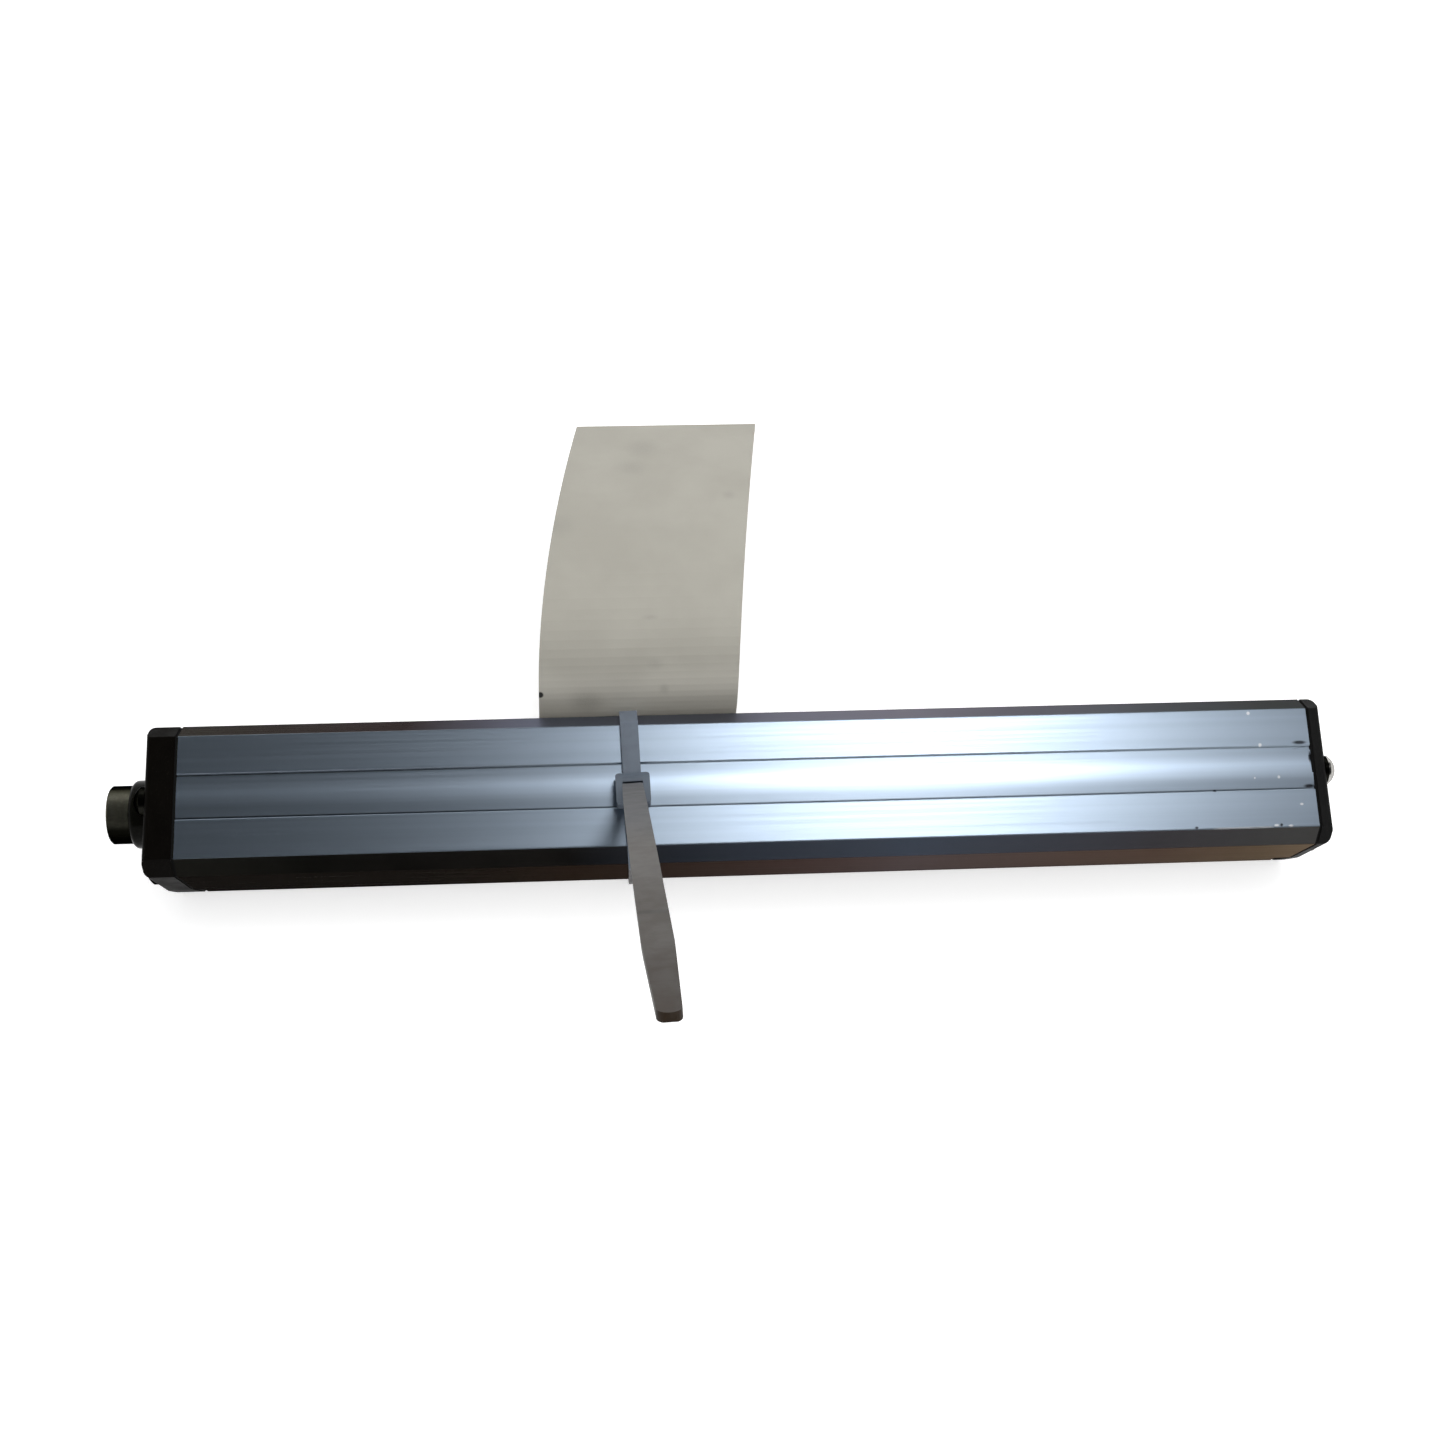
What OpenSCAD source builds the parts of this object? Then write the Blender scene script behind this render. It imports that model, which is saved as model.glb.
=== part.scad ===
// Magnetostrictive linear position sensor in an extruded aluminium profile housing.
// X runs along the housing, with the connector at -X and the earthing end at +X.
// Z points out of the sensing face. The origin is the middle of the housing's base.

/* [Housing] */
// Length of the extrusion between its two sawn ends
housing_len = 306; // [260:2:600]
// Width across the shoulders
housing_w = 41; // [40:0.5:46]
// Height from the base to the sensing face
housing_h = 41; // [40:0.5:46]
// Width of the flat sensing face
face_w = 33; // [30:0.5:35]
// Height of the sloping corner beside the sensing face
corner_drop = 5; // [3.5:0.5:6]
// Width across the base flange
base_w = 37; // [35:0.5:39]
// Radius of the extrusion's outer corners
corner_r = 0.5; // [0.3:0.1:0.8]
// Distance between the two fine grooves in the sensing face
groove_spacing = 11.8; // [10:0.2:14]
// Width of a fine groove
groove_w = 0.8; // [0.5:0.1:1.2]
// Depth of a fine groove
groove_d = 0.6; // [0.4:0.1:0.9]
// Rise of the crowned strip between the grooves
crown_rise = 0.45; // [0.2:0.05:0.6]
// Thickness of the base flange below the clamp slots
flange_t = 6; // [5:0.5:7]
// Height of a clamp slot's mouth
slot_h = 10; // [8:0.5:11]
// Depth of a clamp slot from the shoulder
slot_depth = 5; // [4:0.25:5.5]
// Width of the shallow relief under the base
relief_w = 22; // [16:1:26]
// Depth of the shallow relief under the base
relief_d = 0.8; // [0.4:0.1:1.2]

/* [Inside the housing] */
// Wall between a clamp slot and the electronics bay
bay_wall = 3; // [2.5:0.25:4]
// Floor under the electronics bay
bay_floor = 4; // [3:0.25:5]
// Diameter of the waveguide channel
channel_d = 10; // [9.5:0.25:11]
// Web above and below the waveguide channel
web_t = 2.2; // [1.8:0.1:2.5]
// Wall around the two side chambers
chamber_wall = 2.6; // [2.2:0.1:3]
// Depth of the board's guide grooves
rail_depth = 1; // [0.8:0.1:1.3]

/* [End caps] */
// Thickness of the connector end cap
connector_cap_t = 7.7; // [7:0.1:10]
// Thickness of the plain end cap
plain_cap_t = 3.2; // [2.6:0.1:5]
// Thickness of the flat gaskets behind the caps
gasket_t = 0.8; // [0.5:0.1:1.5]
// Radius of the caps' outer edges
cap_edge_r = 1.5; // [0.5:0.25:2.25]
// How far the gaskets stay inside the outline
gasket_inset = 0.3; // [0.1:0.1:0.6]
// Depth of the recess inside the connector cap
recess_depth = 4.2; // [3.5:0.1:4.6]
// Width and height of the recess inside the connector cap
recess_size = 22; // [20:0.5:23]
// Height of the plain cap's locating pad
pad_t = 2; // [1:0.25:4]

/* [Screws] */
// Nominal diameter of the end cap screws
screw_d = 4; // [3.5:0.25:4.25]
// Diameter of the domed heads
head_d = 8; // [7:0.2:8.4]
// Height of the domed heads
head_h = 2.6; // [2:0.1:3.2]
// Width across the flats of the hexagon sockets
socket_af = 2.5; // [2:0.25:3]
// Thickness of the washers under the heads
washer_t = 1; // [0.6:0.1:1.4]
// How deep the screws reach into the housing
screw_grip = 8; // [6:0.5:14]
// Distance from the sensing face to the upper screw's axis
screw_drop = 4.7; // [4.5:0.1:5.5]
// Distance from the shoulder to a side screw's axis
screw_inset = 5; // [4.6:0.1:5.5]

/* [Connector] */
// Outer diameter of the connector's threaded barrel
barrel_d = 16; // [15.5:0.25:17]
// Length of the free threaded barrel
barrel_len = 6.1; // [5:0.1:9]
// Diameter of the barrel's neck in the collar and cap
neck_d = 15.2; // [14.6:0.1:15.4]
// Diameter of the socket inside the barrel
socket_d = 12.6; // [12:0.1:13]
// Depth of the socket from the barrel's rim to the insulator
socket_depth = 8; // [6:0.25:9]
// Diameter of the black collar
collar_d = 18.7; // [17.5:0.1:20]
// Length of the black collar
collar_len = 7.2; // [5:0.1:9]
// Radius of the collar's rounded shoulder
collar_r = 1.3; // [0.5:0.1:1.3]
// Diameter of a contact pin
pin_d = 1; // [0.8:0.1:1.2]
// Diameter of the circle that the pins stand on
pin_circle_d = 7.5; // [7:0.1:8]
// Length of the pins inside the socket
pin_len = 6; // [4:0.25:7]
// Width of the nut inside the cap
nut_d = 19; // [18:0.25:19.5]
// Thickness of the nut inside the cap
nut_t = 2; // [1.5:0.1:2.4]

/* [Electronics] */
// Length of the circuit board
board_len = 120; // [90:2:200]
// Thickness of the circuit board
board_t = 1.6; // [1:0.1:2]
// Height of the board's middle plane above the base
board_z = 11; // [9.5:0.25:12.5]
// Diameter of the inner leads
lead_d = 0.9; // [0.7:0.1:1]

/* [Waveguide] */
// Outer diameter of the waveguide's protective tube
tube_d = 6; // [5:0.1:6.4]
// Wall of the protective tube
tube_wall = 0.6; // [0.4:0.1:0.8]
// Diameter of the waveguide wire
wire_d = 0.8; // [0.5:0.05:1]
// Length of the coil shield at the connector end
shield_len = 22; // [20:0.5:30]
// Wall of the coil shield
shield_wall = 0.3; // [0.2:0.05:0.4]
// Length of the bias magnet
magnet_len = 4; // [2:0.25:5]
// Length of the damper at the far end of the wire
damper_len = 19; // [12:0.5:30]
// Number of elastic supports along the tube
support_count = 6; // [3:1:9]
// Length of one elastic support
support_len = 5; // [3:0.25:8]
// Diameter of the return conductor
return_d = 1; // [0.6:0.05:1]

/* [Cable tie] */
// Width of the tie's strap
tie_w = 4.8; // [3.6:0.1:5.2]
// Thickness of the tie's strap
tie_t = 1.2; // [0.8:0.1:1.4]
// Place of the tie along the housing
tie_x = -32.4; // [-60:0.1:40]
// Distance of the tie's head from the middle of the face
tie_head_y = -2; // [-6:0.1:6]
// Turn of the tie on the housing
tie_turn = 2; // [-4:0.5:4]
// Width of the tie's head
tie_head_w = 9.1; // [8:0.1:10]
// Length of the tie's head
tie_head_len = 9; // [8:0.1:10]
// Height of the tie's head
tie_head_h = 6; // [5:0.1:7]
// Length of the free tail
tail_len = 244.6; // [120:0.2:280]
// Height above the face at which the tail starts to bend
tail_rise = 9; // [7:0.5:14]
// Lean of the tail where it leaves the head
tail_lean = 11; // [4:0.5:16]
// Lean of the tail at its tip
tail_tip_lean = 28.4; // [20:0.2:40]
// Sideways bow of the tail
tail_bow = 1.1; // [0:0.1:4]
// Length of the narrowing at the tail's tip
tip_len = 26; // [20:1:40]
// Width of the tail's rounded tip
tip_w = 3.4; // [2.4:0.1:4]

/* [Tag] */
// Width of the tag
tag_w = 55; // [40:0.5:60]
// Thickness of the tag
tag_t = 0.4; // [0.3:0.1:0.6]
// How far the tag's outer edge lies behind the housing's shoulder
tag_reach = 102; // [80:1:140]
// Length of the curve's handle where the tag leaves the strap
tag_rise = 12; // [6:0.5:20]
// Height of the handle that pulls the tag up into its arch
tag_arch = 68.5; // [40:0.5:80]
// Distance of that handle behind the shoulder
tag_crest = 21.8; // [10:0.2:40]
// Clearance around the strap in the tag's slot
tag_slot_gap = 0.7; // [0.5:0.1:1.5]

/* [Hidden] */
$fn = 64;

// General clearances
fit = 0.1;
slip = 0.2;
eps = 0.01;

// Outline of the housing, seen from the +X end, without its slots
base_edge = 0.8;
half_w = housing_w / 2;
shoulder_z = housing_h - corner_drop;
slot_top = flange_t + slot_h;
outline_corners = [
    [base_w / 2 - base_edge, 0],
    [base_w / 2, base_edge],
    [half_w, slot_top],
    [half_w, shoulder_z],
    [face_w / 2, housing_h],
    [-face_w / 2, housing_h],
    [-half_w, shoulder_z],
    [-half_w, slot_top],
    [-base_w / 2, base_edge],
    [-base_w / 2 + base_edge, 0]
];

// Places across the housing
groove_y = groove_spacing / 2;
crown_r = (groove_y * groove_y + crown_rise * crown_rise) / (2 * crown_rise);
slot_back_y = half_w - slot_depth;
port_d = screw_d + slip;
top_port_z = housing_h - screw_drop;
channel_z = top_port_z - port_d / 2 - web_t - channel_d / 2;
bay_half_w = slot_back_y - bay_wall;
bay_top = channel_z - channel_d / 2 - web_t;
bay_corner_r = 1;
side_port_y = half_w - screw_inset;
side_port_z = slot_top + screw_inset - 0.7;
chamber_y0 = channel_d / 2 + chamber_wall;
chamber_y1 = half_w - chamber_wall;
chamber_z0 = side_port_z + port_d / 2 + chamber_wall;
chamber_z1 = housing_h - chamber_wall;
screw_places = [[0, top_port_z], [side_port_y, side_port_z], [-side_port_y, side_port_z]];

// Places along the housing
end_x = housing_len / 2;
cap_seat_x = end_x + gasket_t;
connector_face_x = -(cap_seat_x + connector_cap_t);
plain_face_x = cap_seat_x + plain_cap_t;

// Connector, whose axis lies at half the housing's height
axis_z = housing_h / 2;
collar_front_x = connector_face_x - collar_len;
barrel_tip_x = collar_front_x - barrel_len;
barrel_edge = 0.4;
recess_floor_x = -(cap_seat_x + recess_depth);
nut_back_x = recess_floor_x + nut_t;
seal_t = 0.8;
seal_d = neck_d + 2.4;
insulator_front_x = barrel_tip_x + socket_depth;
pin_back_x = nut_back_x + 0.6;
pin_angles = [-30, 30, 90, 150, 210];

// Circuit board and its leads
board_half_w = bay_half_w + rail_depth - 0.3;
board_x0 = -end_x + 3;
board_top = board_z + board_t / 2;
header_x = board_x0 + 2;
header_len = 3;
header_h = 3;
lead_turn_x = -end_x - gasket_t / 2 - lead_d / 2;
lead_z = board_top + header_h / 2;
chip_size = [10, 8, 1.8];
capacitor_d = 6.3;
capacitor_h = 5.4;

// Sensing head and waveguide
shield_x = -end_x + 3;
shield_r = channel_d / 2 - 0.3;
bobbin_x = shield_x + 1.5;
bobbin_len = shield_len - 3.5 - magnet_len;
bobbin_flange_r = shield_r - shield_wall - slip;
bobbin_flange_t = 1.2;
bobbin_core_r = wire_d / 2 + 1.2;
wire_hole_r = wire_d / 2 + 0.15;
magnet_x = bobbin_x + bobbin_len + 0.3;
tube_x = shield_x + shield_len + 0.4;
damper_x = end_x - 3 - damper_len;
tube_end_x = damper_x - 0.4;
support_r = channel_d / 2 - fit;
return_r = (tube_d / 2 + support_r) / 2;

// Cable tie
tie_gap = fit + tie_w / 2 * sin(abs(tie_turn));
tie_base_z = -tie_gap - tie_t;
tail_root_z = housing_h + tie_gap + tie_t / 2;
tail_start_z = housing_h + tail_rise;
tail_start_y = tie_head_y - 0.6;
tail_steps = 48;
tie_back_x = tie_x - (half_w - tie_head_y) * sin(tie_turn);

// Tag, which is threaded on the strap behind the housing and springs down to the floor behind it.
// Its curve's handles lie across the housing, and its drift moves it along the housing.
tag_steps = 32;
tag_pinch = [[half_w - 3, flange_t + 2], [half_w + 0.45, slot_top + 0.3]];
tag_root = [half_w + tie_gap + tie_t + 0.65, slot_top + 5.5];
tag_curve = [tag_root, tag_root + tag_rise * unit(tag_root - tag_pinch[1]), [half_w + tag_crest, tag_arch],
    [half_w + tag_reach, tie_base_z + tag_t / 2 + 0.3]];
tag_drift = [[2.5], [3.8], [1.6], [14.1]];

// Unit vector and outward normal of an edge of a counterclockwise outline
function unit(v) = v / norm(v);
function edge_normal(a, b) = unit([b[1] - a[1], a[0] - b[0]]);

// Outline of the housing moved inwards by inset, with every corner rounded to radius r
function outline(inset, r, steps = 3) = [
    for (i = [0:len(outline_corners) - 1])
        let (
            before = outline_corners[(i + len(outline_corners) - 1) % len(outline_corners)],
            here = outline_corners[i],
            after = outline_corners[(i + 1) % len(outline_corners)],
            n0 = edge_normal(before, here),
            n1 = edge_normal(here, after),
            centre = here - (inset + r) * (n0 + n1) / (1 + n0 * n1),
            start = atan2(n0[1], n0[0]),
            sweep = acos(n0 * n1)
        )
        for (k = [0:steps])
            centre + r * [cos(start + sweep * k / steps), sin(start + sweep * k / steps)]
];

// Point of a cubic curve through four handles
function curve(h, t) = pow(1 - t, 3) * h[0] + 3 * pow(1 - t, 2) * t * h[1]
    + 3 * (1 - t) * t * t * h[2] + pow(t, 3) * h[3];

// Both edges of a thin strip that follows a path
function path_normal(p, i) =
    let (
        a = p[max(i - 1, 0)],
        b = p[min(i + 1, len(p) - 1)]
    )
    edge_normal(a, b);
function strip(p, t) = concat(
    [for (i = [0:len(p) - 1]) p[i] + path_normal(p, i) * t / 2],
    [for (i = [len(p) - 1:-1:0]) p[i] - path_normal(p, i) * t / 2]
);

// Turns a flat section drawn across the housing into a bar from x0 to x1
module along_x(x0, x1) {
    translate([x0, 0, 0])
        rotate([90, 0, 90])
            linear_extrude(x1 - x0)
                children();
}

// Round bar along X
module bar_x(x0, x1, r, y = 0, z = 0) {
    translate([x0, y, z])
        rotate([0, 90, 0])
            cylinder(r = r, h = x1 - x0);
}

// Round tube along X
module tube_x(x0, x1, r_out, r_in, y = 0, z = 0) {
    difference() {
        bar_x(x0, x1, r_out, y, z);
        bar_x(x0 - 1, x1 + 1, r_in, y, z);
    }
}

// Round wire through a list of points
module wire_path(points, d) {
    for (i = [0:len(points) - 2])
        let (
            run = points[i + 1] - points[i],
            tilt = atan2(norm([run[0], run[1]]), run[2]),
            heading = atan2(run[1], run[0])
        )
        translate(points[i])
            rotate([0, tilt, heading])
                cylinder(d = d, h = norm(run));
    for (i = [1:len(points) - 2])
        translate(points[i])
            sphere(d = 1.15 * d);
}

// Section of a side chamber that follows the sloping corner
module chamber_section() {
    slope = edge_normal([half_w, shoulder_z], [face_w / 2, housing_h]);
    reach = slope * [half_w, shoulder_z] - chamber_wall;
    polygon([
        [chamber_y0, chamber_z0],
        [chamber_y1, chamber_z0],
        [chamber_y1, (reach - slope[0] * chamber_y1) / slope[1]],
        [(reach - slope[1] * chamber_z1) / slope[0], chamber_z1],
        [chamber_y0, chamber_z1]
    ]);
}

// Section of the electronics bay with its board grooves
module bay_section() {
    translate([-bay_half_w, bay_floor])
        square([2 * bay_half_w, bay_top - bay_floor]);
    groove_h = board_t + 2 * slip;
    translate([-bay_half_w - rail_depth, board_z - groove_h / 2])
        square([2 * (bay_half_w + rail_depth), groove_h]);
}

// What is taken off the flat face to leave its crowned strip and two grooves
module face_relief_section() {
    difference() {
        translate([-groove_y, housing_h - crown_rise])
            square([2 * groove_y, crown_rise + 1]);
        translate([0, housing_h - crown_r])
            circle(r = crown_r, $fn = 720);
    }
    for (side = [-1, 1])
        polygon([
            [side * groove_y - groove_w / 2, housing_h + eps],
            [side * groove_y, housing_h - groove_d],
            [side * groove_y + groove_w / 2, housing_h + eps]
        ]);
}

module housing_section() {
    difference() {
        polygon(outline(0, corner_r));
        face_relief_section();
        for (side = [0, 1])
            mirror([side, 0]) {
                translate([slot_back_y, flange_t])
                    square([slot_depth + 1, slot_h]);
                translate([base_w / 2, -1])
                    square([half_w, flange_t + 1 + eps]);
                translate([side_port_y, side_port_z])
                    circle(d = port_d);
                chamber_section();
            }
        translate([-relief_w / 2, -1])
            square([relief_w, 1 + relief_d]);
        translate([0, top_port_z])
            circle(d = port_d);
        translate([0, channel_z])
            circle(d = channel_d);
        bay_section();
    }
}

// Gouges and chips at the far end of the sensing face, as points seen from above
gouge_d = 0.7;
gouges = [
    [[-5, 5.1], [-2.8, 5.7], [-0.4, 5.9], [1, 5.8], [1, 4.9], [-1.2, 4.8], [-3, 4.9]],
    [[-2.6, -5.7], [-1, -5.1], [1, -5.2], [1, -6.1], [-1.4, -6.2]],
    [[-0.7, 3.4], [1, 3.7], [1, -1.9], [-0.25, -1.5], [-0.3, 0.4], [-0.9, 1.7]]
];

module housing_profile() {
    color("lightsteelblue")
        difference() {
            along_x(-end_x, end_x)
                housing_section();
            for (points = gouges)
                translate([end_x, 0, housing_h - gouge_d])
                    linear_extrude(gouge_d + 1)
                        polygon(points);
        }
}

// Rectangle from 0 to reach, with its two far corners rounded
module rounded_end(reach, low, high) {
    square_reach = reach - cap_edge_r;
    translate([0, low])
        square([square_reach, high - low]);
    translate([0, low + cap_edge_r])
        square([reach, high - low - 2 * cap_edge_r]);
    for (corner = [low + cap_edge_r, high - cap_edge_r])
        translate([square_reach, corner])
            circle(r = cap_edge_r);
}

// The cap's sides, rounded in plan as well
module cap_sides(seat_x, face_x) {
    way = sign(face_x - seat_x);
    reach = abs(face_x - seat_x);
    translate([seat_x, 0, -1])
        mirror([way < 0 ? 1 : 0, 0, 0])
            linear_extrude(housing_h + 2)
                rounded_end(reach, -half_w, half_w);
}

module screw_holes(x0, x1) {
    for (place = screw_places)
        bar_x(x0 - 1, x1 + 1, port_d / 2, place[0], place[1]);
}

module connector_end_cap() {
    color("black")
        difference() {
            intersection() {
                cap_blank(-cap_seat_x, connector_face_x);
                cap_sides(-cap_seat_x, connector_face_x);
            }
            translate([recess_floor_x, -recess_size / 2, axis_z - recess_size / 2])
                cube([recess_depth + 1, recess_size, recess_size]);
            bar_x(connector_face_x - 1, -cap_seat_x + 1, neck_d / 2 + fit, 0, axis_z);
            screw_holes(connector_face_x, -cap_seat_x);
        }
}

// Bar of the housing's outline with the face's upper and lower edges rounded
module cap_blank(seat_x, face_x) {
    way = sign(face_x - seat_x);
    reach = abs(face_x - seat_x);
    intersection() {
        along_x(min(seat_x, face_x), max(seat_x, face_x))
            polygon(outline(0, corner_r));
        translate([seat_x, half_w + 1, 0])
            mirror([way < 0 ? 1 : 0, 0, 0])
                rotate([90, 0, 0])
                    linear_extrude(housing_w + 2)
                        rounded_end(reach, 0, housing_h);
    }
}

module plain_end_cap() {
    pad_gap = 0.3;
    color("black")
        difference() {
            union() {
                intersection() {
                    cap_blank(cap_seat_x, plain_face_x);
                    cap_sides(cap_seat_x, plain_face_x);
                }
                translate([end_x - pad_t, pad_gap - bay_half_w, bay_floor + pad_gap])
                    cube([pad_t + gasket_t + eps, 2 * (bay_half_w - pad_gap),
                        bay_top - bay_floor - 2 * pad_gap]);
            }
            screw_holes(cap_seat_x, plain_face_x);
        }
}

// Flat gasket with holes for the screws
module gasket(x0, x1) {
    difference() {
        along_x(x0, x1)
            polygon(outline(gasket_inset, corner_r));
        screw_holes(x0, x1);
        children();
    }
}

module connector_end_gasket() {
    color("dimgray")
        gasket(-cap_seat_x, -end_x)
            translate([-cap_seat_x - 1, -recess_size / 2, axis_z - recess_size / 2])
                cube([gasket_t + 2, recess_size, recess_size]);
}

module plain_end_gasket() {
    color("dimgray")
        gasket(end_x, cap_seat_x)
            translate([end_x - 1, -bay_half_w, bay_floor])
                cube([gasket_t + 2, 2 * bay_half_w, bay_top - bay_floor]);
}

// Domed screw along +X from the underside of its head, which lies at the origin
module dome_screw(shank) {
    dome_rim = 0.5;
    dome_r = (pow(head_d / 2, 2) + pow(head_h - dome_rim, 2)) / (2 * (head_h - dome_rim));
    difference() {
        union() {
            bar_x(-eps, shank, screw_d / 2);
            bar_x(-dome_rim, 0, head_d / 2);
            intersection() {
                bar_x(-head_h, -dome_rim + eps, head_d / 2);
                translate([dome_r - head_h, 0, 0])
                    sphere(r = dome_r, $fn = 96);
            }
        }
        translate([-head_h - 1, 0, 0])
            rotate([0, 90, 0])
                cylinder(d = socket_af / cos(30), h = 1 + head_h * 0.6, $fn = 6);
    }
}

module connector_cap_screws() {
    color("dimgray")
        for (place = screw_places)
            translate([connector_face_x - washer_t, place[0], place[1]])
                dome_screw(washer_t + connector_cap_t + gasket_t + screw_grip);
}

module plain_cap_screws() {
    color("dimgray")
        for (place = screw_places)
            translate([plain_face_x + washer_t, place[0], place[1]])
                mirror([1, 0, 0])
                    dome_screw(washer_t + plain_cap_t + gasket_t + screw_grip);
}

module screw_washers() {
    color("gray")
        for (place = screw_places) {
            tube_x(connector_face_x - washer_t, connector_face_x, head_d / 2, port_d / 2,
                place[0], place[1]);
            tube_x(plain_face_x, plain_face_x + washer_t, head_d / 2, port_d / 2,
                place[0], place[1]);
        }
}

// Turned barrel with its socket, neck and threaded front
module connector_shell() {
    front_r = barrel_d / 2;
    color("darkgray")
        translate([barrel_tip_x, 0, axis_z])
            rotate([0, 90, 0])
                rotate_extrude()
                    polygon([
                        [socket_d / 2, 0],
                        [front_r - barrel_edge, 0],
                        [front_r, barrel_edge],
                        [front_r, barrel_len],
                        [neck_d / 2, barrel_len],
                        [neck_d / 2, nut_back_x - barrel_tip_x],
                        [socket_d / 2, nut_back_x - barrel_tip_x]
                    ]);
}

module connector_collar() {
    out_r = collar_d / 2;
    color("black")
        translate([collar_front_x, 0, axis_z])
            rotate([0, 90, 0])
                rotate_extrude()
                    difference() {
                        union() {
                            translate([neck_d / 2 + fit, 0])
                                square([out_r - collar_r - neck_d / 2 - fit, collar_len]);
                            translate([neck_d / 2 + fit, collar_r])
                                square([out_r - neck_d / 2 - fit, collar_len - collar_r]);
                            intersection() {
                                translate([out_r - collar_r, collar_r])
                                    circle(r = collar_r);
                                translate([out_r - collar_r, 0])
                                    square(collar_r);
                            }
                        }
                        translate([0, collar_len - seal_t])
                            square([seal_d / 2 + fit, seal_t + 1]);
                    }
}

module connector_seal() {
    color("dimgray")
        tube_x(connector_face_x - seal_t, connector_face_x, seal_d / 2, neck_d / 2 + fit, 0, axis_z);
}

module connector_nut() {
    flat_cut = 1.2;
    color("silver")
        intersection() {
            tube_x(recess_floor_x, nut_back_x, nut_d / 2, neck_d / 2 + 0.05, 0, axis_z);
            translate([recess_floor_x - 1, flat_cut / 2 - nut_d / 2, axis_z - nut_d / 2])
                cube([nut_t + 2, nut_d - flat_cut, nut_d]);
        }
}

module at_pins() {
    for (angle = pin_angles)
        translate([0, pin_circle_d / 2 * cos(angle), axis_z + pin_circle_d / 2 * sin(angle)])
            children();
}

module connector_insulator() {
    key_r = 1;
    color("darkslategray")
        difference() {
            bar_x(insulator_front_x, nut_back_x, socket_d / 2 - 0.05, 0, axis_z);
            at_pins()
                bar_x(insulator_front_x - 1, nut_back_x + 1, pin_d / 2 + 0.02);
            bar_x(insulator_front_x - 1, insulator_front_x + 2, key_r, 0, axis_z - socket_d / 2);
        }
}

module contact_pins() {
    color("gold")
        at_pins() {
            bar_x(insulator_front_x - pin_len + pin_d / 2, pin_back_x, pin_d / 2);
            translate([insulator_front_x - pin_len + pin_d / 2, 0, 0])
                sphere(d = pin_d);
        }
}

// Row of the five leads on the board header, in the order of the pins
lead_ys = [pin_circle_d / 2 * cos(30), pin_circle_d / 2 * cos(30) + 2.2, 0,
    -pin_circle_d / 2 * cos(30) - 2.2, -pin_circle_d / 2 * cos(30)];

module lead_wires() {
    color("firebrick")
        for (i = [0:len(pin_angles) - 1])
            let (
                pin_y = pin_circle_d / 2 * cos(pin_angles[i]),
                pin_z = axis_z + pin_circle_d / 2 * sin(pin_angles[i]),
                lead_y = lead_ys[i]
            )
            wire_path([
                [pin_back_x, pin_y, pin_z],
                [lead_turn_x, pin_y, pin_z],
                [lead_turn_x, lead_y, pin_z - abs(lead_y - pin_y) - lead_d],
                [lead_turn_x, lead_y, lead_z],
                [header_x, lead_y, lead_z]
            ], lead_d);
}

module circuit_board() {
    color("darkgreen")
        translate([board_x0, -board_half_w, board_z - board_t / 2])
            cube([board_len, 2 * board_half_w, board_t]);
}

module signal_chips() {
    pitch = (board_len - 40) / 3;
    color("dimgray")
        for (i = [0:2])
            translate([board_x0 + 22 + i * pitch, -chip_size[1] / 2, board_top])
                cube(chip_size);
}

module board_capacitors() {
    color("lightgray")
        for (i = [0:3])
            translate([board_x0 + board_len - 14, (i - 1.5) * (capacitor_d - 0.2), board_top])
                cylinder(d = capacitor_d - 0.6, h = capacitor_h);
}

module board_header() {
    header_half_w = lead_ys[1] + 1.4;
    color("ivory")
        translate([header_x, -header_half_w, board_top])
            cube([header_len, 2 * header_half_w, header_h]);
}

module waveguide_tube() {
    color("silver")
        tube_x(tube_x, tube_end_x, tube_d / 2, tube_d / 2 - tube_wall, 0, channel_z);
}

module waveguide_sleeve() {
    color("white")
        tube_x(tube_x, tube_end_x, tube_d / 2 - tube_wall - fit, wire_hole_r, 0, channel_z);
}

module waveguide_wire() {
    color("goldenrod")
        bar_x(bobbin_x - 1, damper_x + damper_len, wire_d / 2, 0, channel_z);
}

// Return conductor along the tube, joined to the wire's far end behind the damper
module return_conductor() {
    bridge_x = damper_x + damper_len + return_d / 2;
    color("orangered")
        wire_path([
            [tube_x, 0, channel_z - return_r],
            [bridge_x, 0, channel_z - return_r],
            [bridge_x, 0, channel_z]
        ], return_d);
}

module tube_supports() {
    pitch = (tube_end_x - tube_x - 2 * support_len) / (support_count - 1);
    color("indianred")
        for (i = [0:support_count - 1])
            let (x0 = tube_x + support_len / 2 + i * pitch)
            difference() {
                tube_x(x0, x0 + support_len, support_r, tube_d / 2 + 0.05, 0, channel_z);
                bar_x(x0 - 1, x0 + support_len + 1, return_d / 2 + 0.05, 0, channel_z - return_r);
            }
}

module end_damper() {
    color("slategray")
        difference() {
            bar_x(damper_x, damper_x + damper_len, support_r, 0, channel_z);
            bar_x(damper_x - 1, damper_x + damper_len + 1, wire_hole_r, 0, channel_z);
            bar_x(damper_x - 1, damper_x + damper_len + 1, return_d / 2 + 0.05,
                0, channel_z - return_r);
        }
}

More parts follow.
